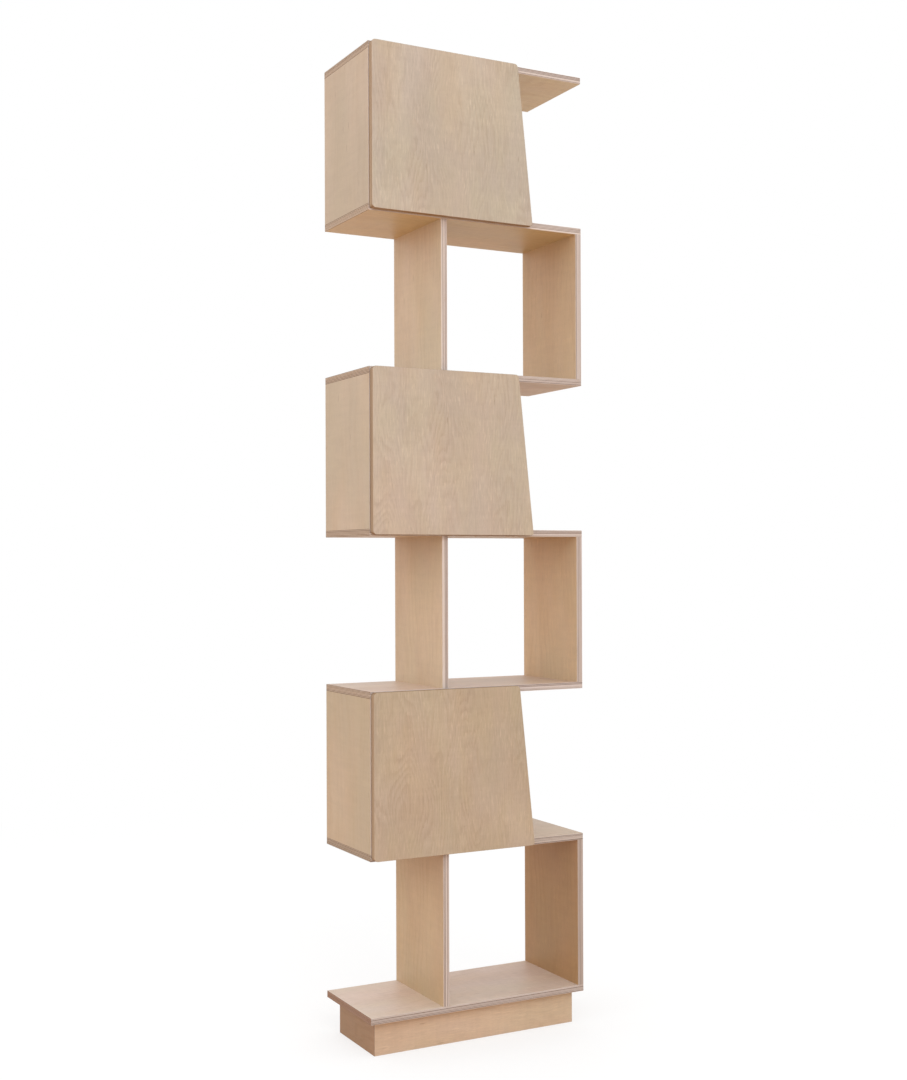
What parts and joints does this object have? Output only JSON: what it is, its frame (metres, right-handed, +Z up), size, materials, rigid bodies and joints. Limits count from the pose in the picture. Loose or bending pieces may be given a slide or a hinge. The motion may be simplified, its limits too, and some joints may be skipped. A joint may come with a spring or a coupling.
{
  "type": "spine bookshelf",
  "caption": "Tall narrow plywood bookshelf with staggered open bays and closed boxes with slanted overlapping doors, on a recessed plinth.",
  "frame": {"origin": "on the floor under the middle of the box that holds the whole shelf with its doors closed", "axes": "+Z up, doors face -Y, +X to the right as seen from the front"},
  "size_m": [0.54, 0.257, 2.19],
  "materials": {
    "birch_plywood": "oiled birch veneer, satin",
    "door_plywood": "greyish birch veneer, satin",
    "thin_plywood": "sanded birch veneer",
    "solid_birch": "planed",
    "beech_dowel": "turned",
    "nickel_plated_steel": "nickel plated",
    "zinc_plated_steel": "zinc plated",
    "clear_rubber": "clear soft plastic"
  },
  "bodies": {
    "carcass": {"shelf_1": "birch_plywood", "shelf_2": "birch_plywood", "shelf_3": "birch_plywood", "shelf_4": "birch_plywood", "shelf_5": "birch_plywood", "shelf_6": "birch_plywood", "shelf_7": "birch_plywood", "centre_upright_1": "birch_plywood", "right_upright_1": "birch_plywood", "left_panel_1": "birch_plywood", "inner_upright_1": "birch_plywood", "centre_upright_2": "birch_plywood", "right_upright_2": "birch_plywood", "left_panel_2": "birch_plywood", "inner_upright_2": "birch_plywood", "centre_upright_3": "birch_plywood", "right_upright_3": "birch_plywood", "left_panel_3": "birch_plywood", "inner_upright_3": "birch_plywood", "back_panel_1": "thin_plywood", "back_panel_2": "thin_plywood", "back_panel_3": "thin_plywood", "plinth_front": "birch_plywood", "plinth_back": "birch_plywood", "plinth_left": "birch_plywood", "plinth_right": "birch_plywood", "plinth_cleat_front": "solid_birch", "plinth_cleat_back": "solid_birch", "shelf_dowels": "beech_dowel", "plinth_tongues": "solid_birch", "cleat_screws": "zinc_plated_steel", "hinge_plate_screws": "zinc_plated_steel", "hinge_arm_screws": "zinc_plated_steel", "hinge_arm_pins": "nickel_plated_steel", "door_bumpers": "clear_rubber", "door_1_hinge_arms": "nickel_plated_steel", "door_1_hinge_plates": "nickel_plated_steel", "door_2_hinge_arms": "nickel_plated_steel", "door_2_hinge_plates": "nickel_plated_steel", "door_3_hinge_arms": "nickel_plated_steel", "door_3_hinge_plates": "nickel_plated_steel"},
    "door_1_links": {"door_1_hinge_links": "nickel_plated_steel"},
    "door_1_leaf": {"door_1": "door_plywood", "door_1_hinge_cups": "nickel_plated_steel", "door_1_cup_pins": "nickel_plated_steel", "door_1_cup_screws": "zinc_plated_steel"},
    "door_2_links": {"door_2_hinge_links": "nickel_plated_steel"},
    "door_2_leaf": {"door_2": "door_plywood", "door_2_hinge_cups": "nickel_plated_steel", "door_2_cup_pins": "nickel_plated_steel", "door_2_cup_screws": "zinc_plated_steel"},
    "door_3_links": {"door_3_hinge_links": "nickel_plated_steel"},
    "door_3_leaf": {"door_3": "door_plywood", "door_3_hinge_cups": "nickel_plated_steel", "door_3_cup_pins": "nickel_plated_steel", "door_3_cup_screws": "zinc_plated_steel"}
  },
  "joints": [
    {"name": "door_1_swing", "type": "hinge", "parent": "carcass", "child": "door_1_links", "pos_m": [-0.2465, -0.1155, 0.6075], "axis": [0, 0, 1], "range_deg": [0, 50.35]},
    {"name": "door_1_fold", "type": "hinge", "parent": "door_1_links", "child": "door_1_leaf", "pos_m": [-0.2595, -0.1167, 0.6075], "axis": [0, 0, -1], "range_deg": [0, 145.36]},
    {"name": "door_2_swing", "type": "hinge", "parent": "carcass", "child": "door_2_links", "pos_m": [-0.2465, -0.1155, 1.3075], "axis": [0, 0, 1], "range_deg": [0, 50.35]},
    {"name": "door_2_fold", "type": "hinge", "parent": "door_2_links", "child": "door_2_leaf", "pos_m": [-0.2595, -0.1167, 1.3075], "axis": [0, 0, -1], "range_deg": [0, 145.36]},
    {"name": "door_3_swing", "type": "hinge", "parent": "carcass", "child": "door_3_links", "pos_m": [-0.2465, -0.1155, 2.0075], "axis": [0, 0, 1], "range_deg": [0, 50.35]},
    {"name": "door_3_fold", "type": "hinge", "parent": "door_3_links", "child": "door_3_leaf", "pos_m": [-0.2595, -0.1167, 2.0075], "axis": [0, 0, -1], "range_deg": [0, 145.36]}
  ],
  "couplings": [
    {"joint": "door_1_fold", "follows": "door_1_swing", "ratio": 2.8868},
    {"joint": "door_2_fold", "follows": "door_2_swing", "ratio": 2.8868},
    {"joint": "door_3_fold", "follows": "door_3_swing", "ratio": 2.8868}
  ]
}
